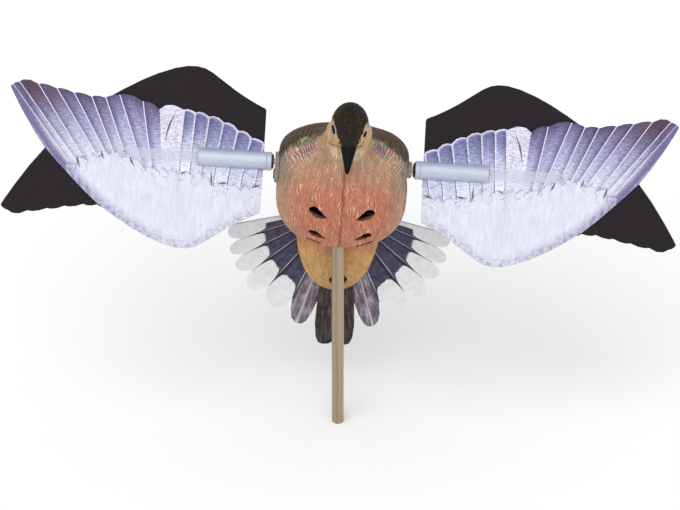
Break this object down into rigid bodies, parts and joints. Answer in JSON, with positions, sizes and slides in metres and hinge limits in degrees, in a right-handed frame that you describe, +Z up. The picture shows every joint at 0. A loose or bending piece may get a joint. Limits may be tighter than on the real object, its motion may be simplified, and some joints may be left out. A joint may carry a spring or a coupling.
{
  "type": "motion dove decoy",
  "caption": "Moulded dove decoy in landing pose on a plain pole, with a fanned tail and spinning wings of printed sheet on slit aluminium tubes.",
  "frame": {"origin": "centre of the pole's foot, where it meets the ground", "axes": "+Z up along the pole, -Y the way the bird faces, X along the wings"},
  "size_m": [0.5074, 0.1008, 0.293],
  "materials": {
    "painted_moulding": "painted, matte",
    "black_plastic": "matte",
    "printed_sheet": "satin print",
    "black_sheet": "fine grained matte",
    "pole_metal": "satin",
    "steel": "bright",
    "tube_aluminium": "brushed",
    "clear_plastic": "clear"
  },
  "bodies": {
    "bird": {"body_shell": "painted_moulding", "side_pad_left": "painted_moulding", "side_pad_right": "painted_moulding", "pad_button": "black_plastic", "tail_fan": "printed_sheet", "pole": "pole_metal"},
    "wings": {"wing_shaft": "steel", "wing_tube_left": "tube_aluminium", "wing_hub_left": "black_plastic", "wing_sheet_front_left": "printed_sheet", "wing_sheet_back_left": "black_sheet", "spar_strip_left": "clear_plastic", "spar_rivet_left": "steel", "wing_tube_right": "tube_aluminium", "wing_hub_right": "black_plastic", "wing_sheet_front_right": "printed_sheet", "wing_sheet_back_right": "black_sheet", "spar_strip_right": "clear_plastic", "spar_rivet_right": "steel"}
  },
  "joints": [
    {"name": "wing_spin", "type": "hinge", "parent": "bird", "child": "wings", "pos_m": [0.0041, 0.02, 0.228], "axis": [0.9979, 0, -0.0645], "continuous": true}
  ]
}
